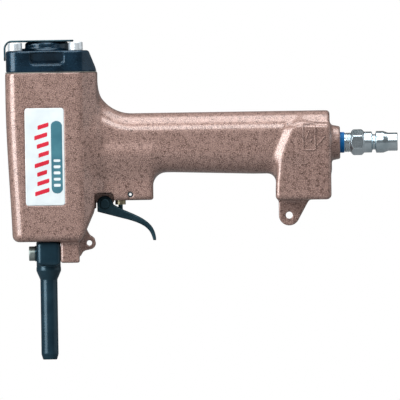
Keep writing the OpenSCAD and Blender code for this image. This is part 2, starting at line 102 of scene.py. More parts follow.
white_room(seen=1.0, given=0.13)
soft_panel("panel_left", (-0.95, -0.72, 0.3), (0.05, 0, 0.1), 0.8, 1.2, 23)
soft_panel("panel_top", (0.1, -0.12, 1.1), (0.09, 0, 0.1), 1.3, 0.75, 11)
soft_panel("panel_front", (0.3, -1.3, 1.1), (0.09, 0, 0.1), 0.9, 0.6, 11)
soft_panel("panel_right", (1.4, -0.1, 0.3), (0.09, 0, 0.1), 1.5, 1.4, 4)
bpy.context.scene.view_settings.view_transform = "Standard"


# ---- Housing ------------------------------------------------------------------------------
# One aluminium die casting: a square body round the cylinder, an oval grip, a flat-sided tail
# and a block each for the trigger valve and the nose. Enamelled in bronze hammertone.
def round_and(a, b, r):
    """Where both solids are: the larger distance, with their common edge rounded to radius r."""
    return np.minimum(np.maximum(a, b), -r) + np.hypot(np.maximum(a + r, 0), np.maximum(b + r, 0))


def round_or(a, b, r):
    """Where either solid is: the smaller distance, with a fillet of radius r where they meet."""
    return np.maximum(np.minimum(a, b), r) - np.hypot(np.maximum(r - a, 0), np.maximum(r - b, 0))


def round_box(u, v, middle, half, r):
    """Distance to a rectangle with corners of radius r, its middle and half sizes given."""
    a = np.abs(u - middle[0]) - half[0] + r
    b = np.abs(v - middle[1]) - half[1] + r
    return np.minimum(np.maximum(a, b), 0) + np.hypot(np.maximum(a, 0), np.maximum(b, 0)) - r


def beyond_line(u, v, a, b):
    """Distance to the right of the line that runs from a to b."""
    du, dv = b[0] - a[0], b[1] - a[1]
    return ((u - a[0]) * dv - (v - a[1]) * du) / math.hypot(du, dv)


def ease(t):
    """Goes smoothly from 0 at t = 0 to 1 at t = 1."""
    t = np.clip(t, 0, 1)
    return t * t * (3 - 2 * t)


def planes(low, high, pitch, *fine):
    """Grid places from low to high, pitch apart, and closer inside each (low, high, pitch) of fine."""
    edges = sorted({low - pitch, high + pitch, *(e for f in fine for e in f[:2])})
    parts = []
    for a, b in zip(edges[:-1], edges[1:]):
        gap = min([pitch] + [f[2] for f in fine if f[0] <= a and b <= f[1]])
        parts.append(np.linspace(a, b, max(2, math.ceil((b - a) / gap) + 1))[:-1])
    return np.append(np.concatenate(parts), edges[-1])


def skin(distance, *axes):
    """The closed surface where distance(x, y, z) is zero, as points and four-cornered faces.

    The distance is sampled where the planes of the three axes cross. Each cell that the surface
    passes through gets one point, the mean of the crossings on its edges, and each grid edge that
    is crossed gets one face between its four cells. The points are then moved along the
    distance's slope until they lie on the surface.
    """
    x, y, z = axes
    field = distance(x[:, None, None], y[None, :, None], z[None, None, :]).astype(np.float32)
    field = np.broadcast_to(field, (len(x), len(y), len(z)))
    inside = field < 0
    cells = np.array(field.shape) - 1
    total = np.zeros((*cells, 3), np.float32)
    count = np.zeros(cells, np.float32)

    def corner(grid, i, j, k):
        return grid[i:i + cells[0], j:j + cells[1], k:k + cells[2]]

    for axis in range(3):
        step = np.eye(3, dtype=int)[axis]
        for start in np.ndindex(2, 2, 2):
            if start[axis]:
                continue
            end = tuple(start + step)
            a, b = corner(field, *start), corner(field, *end)
            crossed = corner(inside, *start) != corner(inside, *end)
            share = np.where(crossed, a / np.where(crossed, a - b, 1), 0)
            for d in range(3):
                total[..., d] += np.where(crossed, start[d] + share * step[d], 0)
            count += crossed
    active = count > 0
    number = np.full(cells, -1)
    number[active] = np.arange(active.sum())
    place = np.stack(np.nonzero(active), 1)
    share = total[active] / count[active][:, None]
    points = np.stack([np.interp(place[:, d] + share[:, d], np.arange(len(axes[d])), axes[d])
                       for d in range(3)], 1)
    faces = []
    for axis in range(3):
        p, q = (axis + 1) % 3, (axis + 2) % 3
        here = [slice(1, -1)] * 3
        here[axis] = slice(0, -1)
        there = list(here)
        there[axis] = slice(1, None)
        a, b = inside[tuple(here)], inside[tuple(there)]
        at = np.stack(np.nonzero(a != b), 1)
        leaves = a[a != b]
        ring = []
        for dp, dq in ((0, 0), (1, 0), (1, 1), (0, 1)):
            cell = at.copy()
            cell[:, p] += dp
            cell[:, q] += dq
            ring.append(number[tuple(cell.T)])
        ring = np.stack(ring, 1)
        faces.append(np.where(leaves[:, None], ring, ring[:, ::-1]))
    nudge = 0.02
    reach = 0.5 * min(np.diff(a).max() for a in axes)
    for _ in range(5):
        px, py, pz = points.T
        value = distance(px, py, pz)
        slope = np.stack([distance(px + nudge, py, pz) - distance(px - nudge, py, pz),
                          distance(px, py + nudge, pz) - distance(px, py - nudge, pz),
                          distance(px, py, pz + nudge) - distance(px, py, pz - nudge)], 1) / (2 * nudge)
        steep = np.maximum((slope ** 2).sum(1), 0.05)
        points = points + np.clip(-slope * (value / steep)[:, None], -reach, reach)
    return points, np.concatenate(faces)


def new_piece(name, points, faces, body, replaced, material):
    """A smooth-shaded mesh from millimetre points that rides on body and stands for CAD nodes."""
    mesh = bpy.data.meshes.new(name)
    mesh.from_pydata((np.asarray(points, float) * MM).tolist(), [], [list(f) for f in faces])
    mesh.update()
    mesh.shade_smooth()
    mesh.materials.append(material)
    piece = bpy.data.objects.new(name, mesh)
    bpy.context.scene.collection.objects.link(piece)
    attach(piece, body)
    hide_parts(*replaced)


def bezier(ends, steps=14):
    """Points of a cubic Bezier curve through four control points."""
    t = np.linspace(0, 1, steps)[:, None]
    a, b, c, d = np.array(ends, float)
    return (1 - t) ** 3 * a + 3 * (1 - t) ** 2 * t * b + 3 * (1 - t) * t ** 2 * c + t ** 3 * d


def inside_outline(u, v, outline):
    """Distance to a closed outline: to its nearest side, negative where a ray crosses it oddly."""
    shape = np.broadcast(u, v).shape
    nearest = np.full(shape, 1e9)
    within = np.zeros(shape, bool)
    for (au, av), (bu, bv) in zip(outline, np.roll(outline, -1, 0)):
        du, dv = bu - au, bv - av
        share = np.clip(((u - au) * du + (v - av) * dv) / (du * du + dv * dv), 0, 1)
        nearest = np.minimum(nearest, (u - au - share * du) ** 2 + (v - av - share * dv) ** 2)
        if dv:
            spans = (np.minimum(av, bv) <= v) & (v < np.maximum(av, bv))
            within ^= spans & (u < au + (v - av) * du / dv)
    return np.sqrt(nearest) * np.where(within, -1, 1)


front_eye, rear_eye = (24.7, 69.6), (144.8, 84.4)
lever_pivot = (34.3, 93)
air_line_z = 127.5
cap_bolt_out = 18.2
nose_screw_out, nose_screw_z = 11, 63.7


def body_front(z):
    """The front face leans back from 24.4 at the top to about 21 at the bottom."""
    return -24.4 + 3.4 * ease((157 - z) / 105)


def body_plan(x, side, front):
    """Distance to the body seen from above: rounded front corners, back corners cut off flat."""
    plan = round_and(front - x, side - 23, 7.5)
    plan = round_and(plan, x - 30.6, 3)
    return round_and(plan, beyond_line(x, side, (30.6, 15), (20.8, 23)), 1.6)


def lug_plate(outline, side):
    """A cast plate 5 thick on the middle plane, its rim rounded."""
    return round_and(outline, side - 2.5, 0.9)


def housing_outside(x, y, z):
    """Distance to the casting's outside: its limbs, joined with the fillets of the pattern."""
    side = np.abs(y)
    body = round_and(body_plan(x, side, body_front(z)), 70.6 - z, 4)
    body = round_and(body, beyond_line(x, z, (23.4, 78), (28.7, 90)), 2.5)
    # grip: a fat oval that runs up the body's back in a wide curve, its underside a little lower
    # towards the tail
    spine = round_or(x - 29.4, z - 147, 21.8)
    underside = 111.2 - 1.6 * np.clip((x - 76) / 48, 0, 1) - z
    grip = round_and(np.maximum(spine, underside), side - 15.5, 13)
    grip = np.maximum(np.maximum(round_and(grip, x - 169.9, 2.2), 5 - x), z - 175)
    body = round_or(body, grip, 9 - 6 * ease((z - 133) / 14))
    # block for the trigger valve
    block = round_and(round_box(x, z, (40, 110), (23.5, 15.2), 1.5), side - 12.5, 3)
    body = round_or(body, block, 8)
    # tail: flat sides, its front edge sweeping back as it rises
    sweep = 136.9 + 17 * np.maximum((z - 98) / 50, 0) ** 2
    tail = round_and(round_and(sweep - x, side - 17.8, 3),
                     round_box(x, z, (140, 116.25), (30.4, 22.75), 3), 2.4)
    body = round_or(body, tail, 6 - 3.5 * ease((x - 150) / 14))
    # inlet boss, flared at its root
    from_line = np.hypot(y, z - air_line_z)
    boss = round_and(round_and(from_line - 9.7 - 0.2 * (176 - x), x - 176, 0.7), 160 - x, 1)
    body = round_or(body, boss, 1.5)
    # block behind the nose
    nose_block = round_and(round_box(x, z, (13.05, 66.8), (5.65, 9), 1.2), side - 16.5, 1.2)
    body = round_or(body, nose_block, 1.5)
    # front lug, and the web that carries it
    eye = np.hypot(x - front_eye[0], z - front_eye[1]) - 3.9
    web = inside_outline(x, z, [(15, 61.8), (19.6, 62.2), (20.9, 64.4), (23.4, 65.7), (28.2, 71.4),
                                (25.4, 74), (23.6, 77), (15, 77)])
    body = round_or(body, lug_plate(round_or(eye, web, 1.5), side), 1.2)
    # rear lug, its back edge tangent to the rim of its eye
    eye = np.hypot(x - rear_eye[0], z - rear_eye[1]) - 6.2
    ear = inside_outline(x, z, [(138.6, 98), (138.6, 84.4), rear_eye, (150.22, 81.39),
                                (157.5, 94.5), (157.5, 98)])
    return round_or(body, lug_plate(np.minimum(eye, ear), side), 1.2)


def housing_shape(x, y, z):
    """Distance to the casting with its notch, seats and bores cut out."""
    side = np.abs(y)
    body = housing_outside(x, y, z)
    # notch for the trigger, with the lug that the lever straddles
    notch = round_box(x, z, (33.9, 84.3), (5.8, 15), 2.6)
    body = round_and(body, -notch, 0.8)
    pivot = np.hypot(x - lever_pivot[0], z - lever_pivot[1])
    lug = round_or(pivot - 4.2, round_box(x, z, (35.1, 98.5), (5, 5), 0.5), 1)
    lug = np.minimum(lug, np.maximum(np.maximum(27 - x, x - 31), 93.9 - z))
    lug = np.minimum(lug, np.maximum(np.maximum(27 - x, x - 29.2), 90.3 - z))
    body = np.minimum(body, round_and(lug, side - 3, 0.5))
    holes = [(pivot, 2), (np.hypot(x - front_eye[0], z - front_eye[1]), 1.6),
             (np.hypot(x - rear_eye[0], z - rear_eye[1]), 2.1),
             (np.hypot(x - 49.7, z - 98.3), 1.52)]
    for from_middle, radius in holes:
        body = round_and(body, radius - from_middle, 0.35)
    # seat of the name plate
    seat = np.maximum(round_box(x, z, (-1.3, 121.65), (11.9, 29.35), 1.8), y + 22.5)
    body = round_and(body, -seat, 0.2)
    # cylinder chamber, the step that holds the sleeve, and the bore for the driver's bush
    from_axis = np.hypot(x, y)
    for radius, floor in ((18.5, 86), (15.25, 80), (6, 60)):
        body = np.maximum(body, np.minimum(radius - from_axis, z - floor))
    # air chamber in the grip, then the tapped inlet
    body = np.maximum(body, np.minimum(11.5 - np.hypot(y, z - 129), np.minimum(x - 10, 158 - x)))
    inlet = np.minimum(6.35 - np.hypot(y, z - air_line_z), x - 157)
    body = round_and(body, inlet, 0.5)
    # bores for the trigger valve, the cap's bolts and the nose's screws
    body = np.maximum(body, np.minimum(4.8 - np.hypot(x - 43.7, y), 115.5 - z))
    bolts = np.hypot(np.abs(x) - cap_bolt_out, side - cap_bolt_out)
    body = np.maximum(body, np.minimum(2.55 - bolts, z - 148))
    screws = np.hypot(side - nose_screw_out, z - nose_screw_z)
    body = np.maximum(body, np.minimum(2.55 - screws, 17.2 - x))
    return np.maximum(body, z - 172)


def grain_group():
    """A fine uneven grain: its mask goes from 0 to 1, its height feeds a bump."""
    group = bpy.data.node_groups.new("surface_grain", "ShaderNodeTree")
    for name, kind, way in (("Vector", "NodeSocketVector", "INPUT"), ("Size", "NodeSocketFloat", "INPUT"),
                            ("Mask", "NodeSocketFloat", "OUTPUT"), ("Height", "NodeSocketFloat", "OUTPUT")):
        group.interface.new_socket(name, in_out=way, socket_type=kind)
    nodes, links = group.nodes, group.links
    given, made = nodes.new("NodeGroupInput"), nodes.new("NodeGroupOutput")
    scale = nodes.new("ShaderNodeMath")
    scale.operation = "DIVIDE"
    scale.inputs[0].default_value = 1
    broad, small = nodes.new("ShaderNodeTexNoise"), nodes.new("ShaderNodeTexNoise")
    broad.inputs["Scale"].default_value = 90
    broad.inputs["Detail"].default_value = 4
    small.inputs["Detail"].default_value = 3
    links.new(given.outputs["Size"], scale.inputs[1])
    links.new(scale.outputs[0], small.inputs["Scale"])
    for noise in (broad, small):
        links.new(given.outputs["Vector"], noise.inputs["Vector"])
    spread = nodes.new("ShaderNodeMapRange")
    spread.inputs["From Min"].default_value = 0.35
    spread.inputs["From Max"].default_value = 0.65
    links.new(broad.outputs["Fac"], spread.inputs["Value"])
    links.new(spread.outputs[0], made.inputs["Mask"])
    links.new(small.outputs["Fac"], made.inputs["Height"])
    return group


def wear_group():
    """Where edges and corners have been rubbed: sharp convex places, broken up by noise."""
    group = bpy.data.node_groups.new("edge_wear", "ShaderNodeTree")
    for name, kind, way in (("Vector", "NodeSocketVector", "INPUT"), ("Amount", "NodeSocketFloat", "INPUT"),
                            ("Mask", "NodeSocketFloat", "OUTPUT")):
        group.interface.new_socket(name, in_out=way, socket_type=kind)
    nodes, links = group.nodes, group.links
    given, made = nodes.new("NodeGroupInput"), nodes.new("NodeGroupOutput")
    shape = nodes.new("ShaderNodeNewGeometry")
    sharp = nodes.new("ShaderNodeMapRange")
    sharp.inputs["From Min"].default_value = 0.55
    sharp.inputs["From Max"].default_value = 0.68
    noise = nodes.new("ShaderNodeTexNoise")
    noise.inputs["Scale"].default_value = 350
    noise.inputs["Detail"].default_value = 5
    patchy = nodes.new("ShaderNodeMapRange")
    patchy.inputs["From Min"].default_value = 0.45
    patchy.inputs["From Max"].default_value = 0.62
    both, scaled = nodes.new("ShaderNodeMath"), nodes.new("ShaderNodeMath")
    both.operation = scaled.operation = "MULTIPLY"
    links.new(given.outputs["Vector"], noise.inputs["Vector"])
    links.new(shape.outputs["Pointiness"], sharp.inputs["Value"])
    links.new(noise.outputs["Fac"], patchy.inputs["Value"])
    links.new(sharp.outputs[0], both.inputs[0])
    links.new(patchy.outputs[0], both.inputs[1])
    links.new(both.outputs[0], scaled.inputs[0])
    links.new(given.outputs["Amount"], scaled.inputs[1])
    links.new(scaled.outputs[0], made.inputs["Mask"])
    return group


surface_grain, edge_wear = grain_group(), wear_group()


def placed_group(nodes, group, **values):
    """A group node with its inputs set."""
    node = nodes.new("ShaderNodeGroup")
    node.node_tree = group
    for name, value in values.items():
        node.inputs[name].default_value = value
    return node


def blended(nodes, links, mask, a, b):
    """A colour between a and b, each a colour or an output, as mask goes from 0 to 1."""
    mix = nodes.new("ShaderNodeMix")
    mix.data_type = "RGBA"
    links.new(mask, mix.inputs["Factor"])
    for socket, value in ((mix.inputs["A"], a), (mix.inputs["B"], b)):
        if isinstance(value, bpy.types.NodeSocket):
            links.new(value, socket)
        else:
            socket.default_value = (*value, 1)
    return mix.outputs["Result"]


def hammertone_enamel():
    """Bronze hammertone: light flakes that ran together in drying, with fine dark worms between
    them, a faint cobbled relief, and a clear gloss on top. Rubbed edges show bare casting."""
    paint = bpy.data.materials.new("bronze_hammertone")
    paint.use_nodes = True
    nodes, links = paint.node_tree.nodes, paint.node_tree.links
    shader = nodes["Principled BSDF"]
    place = nodes.new("ShaderNodeTexCoord").outputs["Object"]
    # worms: the borders of cells of about 1 mm, bent by noise and stronger in places
    bend = nodes.new("ShaderNodeTexNoise")
    bend.inputs["Scale"].default_value = 700
    bent = nodes.new("ShaderNodeMix")
    bent.data_type = "VECTOR"
    bent.inputs["Factor"].default_value = 0.0011
    cells = nodes.new("ShaderNodeTexVoronoi")
    cells.feature = "DISTANCE_TO_EDGE"
    cells.inputs["Scale"].default_value = 1050
    links.new(place, bend.inputs["Vector"])
    links.new(place, bent.inputs["A"])
    links.new(bend.outputs["Color"], bent.inputs["B"])
    links.new(bent.outputs["Result"], cells.inputs["Vector"])
    border = nodes.new("ShaderNodeMapRange")
    border.inputs["From Min"].default_value = 0.02
    border.inputs["From Max"].default_value = 0.2
    border.inputs["To Min"].default_value = 1
    border.inputs["To Max"].default_value = 0
    gaps = nodes.new("ShaderNodeTexNoise")
    gaps.inputs["Scale"].default_value = 420
    gaps.inputs["Detail"].default_value = 2
    kept = nodes.new("ShaderNodeMapRange")
    kept.inputs["From Min"].default_value = 0.3
    kept.inputs["From Max"].default_value = 0.62
    kept.inputs["To Min"].default_value = 0.4
    worms = nodes.new("ShaderNodeMath")
    worms.operation = "MULTIPLY"
    links.new(cells.outputs["Distance"], border.inputs["Value"])
    links.new(place, gaps.inputs["Vector"])
    links.new(gaps.outputs["Fac"], kept.inputs["Value"])
    links.new(border.outputs[0], worms.inputs[0])
    links.new(kept.outputs[0], worms.inputs[1])
    # colour: flake between pinkish and greyish brown, then the worms, then bare metal
    grain = placed_group(nodes, surface_grain, Size=0.0012)
    wear = placed_group(nodes, edge_wear, Amount=0.15)
    for group in (grain, wear):
        links.new(place, group.inputs["Vector"])
    flake = blended(nodes, links, grain.outputs["Height"], (0.34, 0.21, 0.175), (0.53, 0.365, 0.32))
    tone = blended(nodes, links, worms.outputs[0], flake, (0.065, 0.028, 0.02))
    tone = blended(nodes, links, wear.outputs["Mask"], tone, (0.42, 0.40, 0.38))
    links.new(tone, shader.inputs["Base Color"])
    rough = nodes.new("ShaderNodeMapRange")
    rough.inputs["To Min"].default_value = 0.34
    rough.inputs["To Max"].default_value = 0.46
    links.new(grain.outputs["Mask"], rough.inputs["Value"])
    links.new(rough.outputs[0], shader.inputs["Roughness"])
    shader.inputs["Metallic"].default_value = 0.3
    shader.inputs["Coat Weight"].default_value = 0.85
    shader.inputs["Coat Roughness"].default_value = 0.14
    relief = nodes.new("ShaderNodeBump")
    relief.inputs["Strength"].default_value = 0.35
    relief.inputs["Distance"].default_value = 0.00012
    links.new(cells.outputs["Distance"], relief.inputs["Height"])
    links.new(relief.outputs["Normal"], shader.inputs["Normal"])
    return paint


bronze_hammertone = hammertone_enamel()
points, faces = skin(housing_shape,
                     planes(-24.4, 176, 1.2, (17, 53, 0.7), (136, 158, 0.8), (168, 176, 0.6)),
                     planes(-23, 23, 1.1, (-23.3, -22.2, 0.28), (-4, 4, 0.55)),
                     planes(57, 172, 1.1, (57, 101, 0.7), (170, 172, 0.5)))
new_piece("housing_casting", points, faces, "gun", ["housing"], bronze_hammertone)


# ---- Oiling mark --------------------------------------------------------------------------
# A raised mark on the tail, cast with it and painted over: a drop of oil in a frame, and an
# arrow towards the air plug where the oil goes in.
def oiling_mark(x, y, z):
    """Distance to the mark's lines, 0.64 wide and standing 0.6 proud of the tail."""
    border = np.abs(round_box(x, z, (157.5, 131.3), (3.6, 8), 0.8))
    side = np.abs(x - 157.5)
    point = np.maximum((side - 0.45 * (134.4 - z)) * 0.9, 131 - z)
    drop = np.abs(np.minimum(np.hypot(side, z - 130.2) - 1.75, point))
    arrow = np.abs(beyond_line(x, np.abs(z - 131.3), (167, 0), (163, 4.5)))
    arrow = np.maximum(arrow, np.maximum(162.6 - x, x - 167.3))
    lines = np.minimum(np.minimum(border, drop), arrow) - 0.32
    return round_and(lines, np.abs(housing_outside(x, y, z)) - 0.6, 0.1)


points, faces = skin(oiling_mark, planes(153, 168, 0.25), planes(-21, -15.2, 0.25),
                     planes(122, 140.6, 0.25))
new_piece("oiling_mark", points, faces, "gun", [], bronze_hammertone)


# ---- Cylinder cap -------------------------------------------------------------------------
# Closes the cylinder and the head valve's chamber. Die-cast aluminium, painted black, on a
# fibre gasket; it has a shallow window in each side and the exhaust neck on top.
hood_screw_out = 10.6


def cap_shape(x, y, z):
    """Distance to the cap: the body's plan with a sloping back, the neck, and what is cut out."""
    side, from_axis = np.abs(y), np.hypot(x, y)
    cap = body_plan(x, side, -23.8)
    cap = round_and(cap, beyond_line(x, z, (30.5, 173.5), (25.8, 185.3)), 1)
    cap = round_and(np.maximum(cap, 172.5 - z), z - 185.3, 1.2)
    neck = np.maximum(round_and(from_axis - 14, z - 190.5, 1.4), 180 - z)
    cap = round_or(cap, neck, 2.4)
    floor = 19.7 - side + 0.38 * (z - 177.3)
    window = np.maximum(round_box(x, z, (0.8, 180.65), (9.8, 3.35), 1.8), floor)
    cap = round_and(cap, -window, 0.25)
    # chamber of the head valve, round the boss that it slides on
    cap = np.maximum(cap, np.minimum(np.minimum(18.5 - from_axis, from_axis - 7.05), 181.5 - z))
    boss = np.maximum(round_and(from_axis - 7.05, 168 - z, 0.3), z - 182)
    cap = np.minimum(cap, boss)
    groove = np.minimum(from_axis - 6, np.minimum(z - 171, 172.4 - z))
    cap = np.maximum(cap, groove)
    cap = np.maximum(np.maximum(cap, 5 - from_axis), np.minimum(9 - from_axis, z - 186))
    # way out for the air under the hood, and the screws' holes
    cap = np.maximum(cap, np.minimum(np.minimum(-9 - x, 6.5 - side), z - 186.8))
    cap = np.maximum(cap, 2.6 - np.hypot(np.abs(x) - cap_bolt_out, side - cap_bolt_out))
    return np.maximum(cap, np.minimum(1.27 - np.hypot(x, side - hood_screw_out), z - 186.2))


def finish_of(name, dark, light, metallic, rough, worn, wear=0.5, grain=0.0006, relief=0.2, coat=0,
              tint=(1, 1, 1)):
    """A material mottled between two colours, with a fine relief and its edges rubbed to worn."""
    material = bpy.data.materials.new(name)
    material.use_nodes = True
    nodes, links = material.node_tree.nodes, material.node_tree.links
    shader = nodes["Principled BSDF"]
    place = nodes.new("ShaderNodeTexCoord").outputs["Object"]
    mottle = placed_group(nodes, surface_grain, Size=grain)
    rubbed = placed_group(nodes, edge_wear, Amount=wear)
    for group in (mottle, rubbed):
        links.new(place, group.inputs["Vector"])
    tone = blended(nodes, links, mottle.outputs["Mask"], dark, light)
    tone = blended(nodes, links, rubbed.outputs["Mask"], tone, worn)
    links.new(tone, shader.inputs["Base Color"])
    shine = nodes.new("ShaderNodeMapRange")
    shine.inputs["To Min"].default_value = rough * 0.8
    shine.inputs["To Max"].default_value = rough * 1.25
    links.new(mottle.outputs["Height"], shine.inputs["Value"])
    links.new(shine.outputs[0], shader.inputs["Roughness"])
    shader.inputs["Metallic"].default_value = metallic
    shader.inputs["Specular Tint"].default_value = (*tint, 1)
    shader.inputs["Coat Weight"].default_value = coat
    shader.inputs["Coat Roughness"].default_value = 0.1
    shader.inputs["Coat Tint"].default_value = (*tint, 1)
    bump = nodes.new("ShaderNodeBump")
    bump.inputs["Strength"].default_value = relief
    bump.inputs["Distance"].default_value = grain / 4
    links.new(mottle.outputs["Height"], bump.inputs["Height"])
    links.new(bump.outputs["Normal"], shader.inputs["Normal"])
    return material


black_enamel = finish_of("black_enamel", (0.001, 0.004, 0.008), (0.006, 0.018, 0.031), 0, 0.28,
                         (0.06, 0.09, 0.11), wear=0.35, grain=0.0011, relief=0.9, coat=0.4,
                         tint=(0.4, 0.75, 1))
points, faces = skin(cap_shape,
                     planes(-23.8, 31, 0.8), planes(-23, 23, 0.8),
                     planes(168, 190.5, 0.8, (171, 173.6, 0.4), (184, 187.4, 0.45), (189.5, 190.5, 0.3)))
new_piece("cap_casting", points, faces, "gun", ["cylinder_cap"], black_enamel)


# ---- Cap bolts ----------------------------------------------------------------------------
# Four zinc-plated socket-head screws that hold the cap down, bright from the plating bath.
def socket_screw(along, u, v, head_r, head_h, shank_r, length):
    """Distance to a socket-head screw. along runs up from the head's underside, through the head."""
    from_axis = np.hypot(u, v)
    head = np.maximum(round_and(from_axis - head_r, along - head_h, 0.5), -along)
    shank = np.maximum(round_and(from_axis - shank_r, -length - along, 0.6), along - 0.5)
    flats = np.maximum(np.abs(u), np.abs(u) / 2 + np.abs(v) * 0.866) - 2
    socket = np.maximum(flats, head_h - 2.6 - along)
    return round_and(np.minimum(head, shank), -socket, 0.2)


def copies(points, faces, places):
    """The same solid moved to each of places, as one mesh."""
    return (np.concatenate([points + np.array(place) for place in places]),
            np.concatenate([faces + i * len(points) for i in range(len(places))]))


zinc_plate = finish_of("zinc_plate", (0.72, 0.80, 0.86), (0.86, 0.93, 0.98), 0.6, 0.3,
                       (0.9, 0.93, 0.96), grain=0.0009, relief=0.15)
points, faces = skin(lambda x, y, z: socket_screw(z, x, y, 4.25, 5, 2.5, 35.3),
                     planes(-4.25, 4.25, 0.36), planes(-4.25, 4.25, 0.36),
                     planes(-35.3, 5, 1.2, (-1, 5, 0.34)))
both_sides = (-cap_bolt_out, cap_bolt_out)
points, faces = copies(points, faces, [(x, y, 185.3) for x in both_sides for y in both_sides])
new_piece("cap_socket_screws", points, faces, "gun", ["cap_bolts"], zinc_plate)


# ---- Exhaust hood -------------------------------------------------------------------------
# Turns the spent air away from the user's face: a strap of sheet steel over the neck, its front
# bent down as a lip, blackened. Two small countersunk screws hold it.
def hood_shape(x, y, z):
    """Distance to the bent sheet: what lies between its outer and its inner surface."""
    side = np.abs(y)
    outer = round_and(-25 - x, z - 191.7, 5)
    inner = round_and(-23.87 - x, z - 190.5, 3.9)
    rim = np.maximum(round_and(x - 17, side - 13.5, 2.5), round_and(179.5 - z, side - 13.5, 2.5))
    sheet = round_and(np.maximum(outer, -inner), rim, 0.3)
    hole = np.hypot(x, side - hood_screw_out) - np.interp(z, (190.2, 191.7), (1.35, 2.4))
    return np.maximum(sheet, -np.maximum(hole, 189 - z))


def hood_screw(x, y, z):
    """Distance to a countersunk screw whose head is flush with z = 0."""
    from_axis = np.hypot(x, y)
    head = np.maximum(from_axis - np.interp(z, (-1.5, 0), (1.25, 2.3)), z)
    shank = round_and(from_axis - 1.25, -5.4 - z, 0.2)
    flats = np.maximum(np.abs(x), np.abs(x) / 2 + np.abs(y) * 0.866) - 0.85
    return np.maximum(np.maximum(np.minimum(head, shank), z), -np.maximum(flats, -0.9 - z))


black_oxide = finish_of("black_oxide", (0.02, 0.045, 0.06), (0.04, 0.08, 0.10), 0.8, 0.32,
                        (0.16, 0.2, 0.22), wear=0.6, grain=0.0008, relief=0.25,
                        tint=(0.5, 0.85, 1))
points, faces = skin(hood_shape, planes(-25, 17, 0.55, (-25, -23.6, 0.24)),
                     planes(-13.5, 13.5, 0.5), planes(179.5, 191.7, 0.55, (190, 191.7, 0.25)))
new_piece("exhaust_hood_sheet", points, faces, "gun", ["exhaust_hood"], black_oxide)
points, faces = skin(hood_screw, planes(-2.3, 2.3, 0.22), planes(-2.3, 2.3, 0.22), planes(-5.4, 0, 0.22))
points, faces = copies(points, faces, [(0, y, 191.7) for y in (-hood_screw_out, hood_screw_out)])
new_piece("hood_countersunk_screws", points, faces, "gun", ["hood_screws"],
          black_oxide)


# ---- Nose ---------------------------------------------------------------------------------
# The hollow nose that is put over the nail, and guides the driver. Turned from alloy steel with
# a square flange at its root, hardened and blackened; its tip is worn bright by nails.
def nose_shape(x, y, z):
    """Distance to the nose: a tube with a collar, a square flange, and its bores."""
    side, from_axis = np.abs(y), np.hypot(x, y)
    radius = np.interp(z, (0, 3.3, 48, 52.9, 53.15, 55.15, 55.4, 71),
                       (4.2, 5.15, 5.15, 7.25, 7.4, 7.4, 7.25, 7.25))
    tube = round_and(round_and((from_axis - radius) * 0.95, -z, 0.35), z - 70.6, 0.3)
    flange = round_box(side, z, (0, 63.4), (16.9, 7), 1.5)
    flange = round_and(flange, np.abs(x - 0.075) - 7.325, 3.2)
    nose = np.minimum(tube, flange)
    bore = np.minimum(from_axis - 2.8, np.maximum(from_axis - 3.3, z - 30))
    nose = round_and(nose, -bore, 0.2)
    return np.maximum(nose, 2.6 - np.hypot(side - nose_screw_out, z - nose_screw_z))


nose_steel = finish_of("nose_steel", (0.006, 0.02, 0.032), (0.014, 0.038, 0.055), 0.25, 0.3,
                       (0.2, 0.22, 0.23), wear=0.7, grain=0.0007, relief=0.08, coat=0.22,
                       tint=(0.5, 0.83, 1))
# The same zinc plating as the cap's screws, painted darker: painted shade, for the nose screws that sit in
# shade under the casting.
zinc_painted_shade = finish_of("zinc_painted_shade", (0.20, 0.25, 0.24), (0.36, 0.42, 0.41), 0.85, 0.4,
                      (0.55, 0.58, 0.58), grain=0.0009, relief=0.2)
points, faces = skin(nose_shape, planes(-7.4, 7.4, 0.55), planes(-16.9, 16.9, 0.55),
                     planes(0, 70.6, 0.6, (0, 4, 0.4), (47.5, 56, 0.35)))
new_piece("nose_tube", points, faces, "gun", ["nose_piece"], nose_steel)

# The nose screws get the zinc with painted shade, darker than the cap's screws.
points, faces = skin(lambda x, y, z: socket_screw(-x, y, z, 4.35, 3.65, 2.5, 25),
                     planes(-3.65, 25, 1.2, (-3.65, 1, 0.34)),
                     planes(-4.35, 4.35, 0.36), planes(-4.35, 4.35, 0.36))
points, faces = copies(points, faces, [(-8.05, y, nose_screw_z)
                                       for y in (-nose_screw_out, nose_screw_out)])
new_piece("nose_socket_screws", points, faces, "gun", ["nose_screws"], zinc_painted_shade)


# ---- Name plate ---------------------------------------------------------------------------
# A printed plastic plate glued into a shallow seat: white, with slanting red bars and a teal
# pill, both plain shapes that say nothing.
def flat_print(outline, name, material):
    """A layer of ink 0.03 thick on the plate's face, in the shape of outline(x, z)."""
    points, faces = skin(lambda x, y, z: np.maximum(outline(x, z), np.abs(y + 23.115) - 0.03),
                         planes(-8.6, 9.8, 0.3), planes(-23.145, -23.085, 0.03), planes(97, 144, 0.3))
    new_piece(name, points, faces, "gun", [], material)


def red_bars(x, z):
    """Distance to a column of slanting bars of uneven length."""
    bars = np.full(np.broadcast(x, z).shape, 9.0)
    for i, (left, right) in enumerate(((-7.6, 1.2), (-6.2, 1.2), (-6.2, 0), (-7.6, 1.2), (-5.2, 1.2),
                                       (-6.2, 1.2), (-7.6, 0.4), (-5.6, 1.2))):
        level = z - 100.6 - 5.6 * i - 0.3 * (x + 3)
        bar = round_and(np.abs(x - (left + right) / 2) - (right - left) / 2, np.abs(level) - 1.35, 0.5)
        bars = np.minimum(bars, bar)
    return bars


def teal_pill(x, z):
    """Distance to the upright pill, less five plain dashes near its lower end."""
    pill = round_box(x, z, (5.9, 121.3), (3.5, 21.9), 3.5)
    for level in (104.5, 108.2, 111.9, 115.6, 119.3):
        pill = np.maximum(pill, -round_box(x, z, (5.9, level), (2, 0.75), 0.5))
    return pill


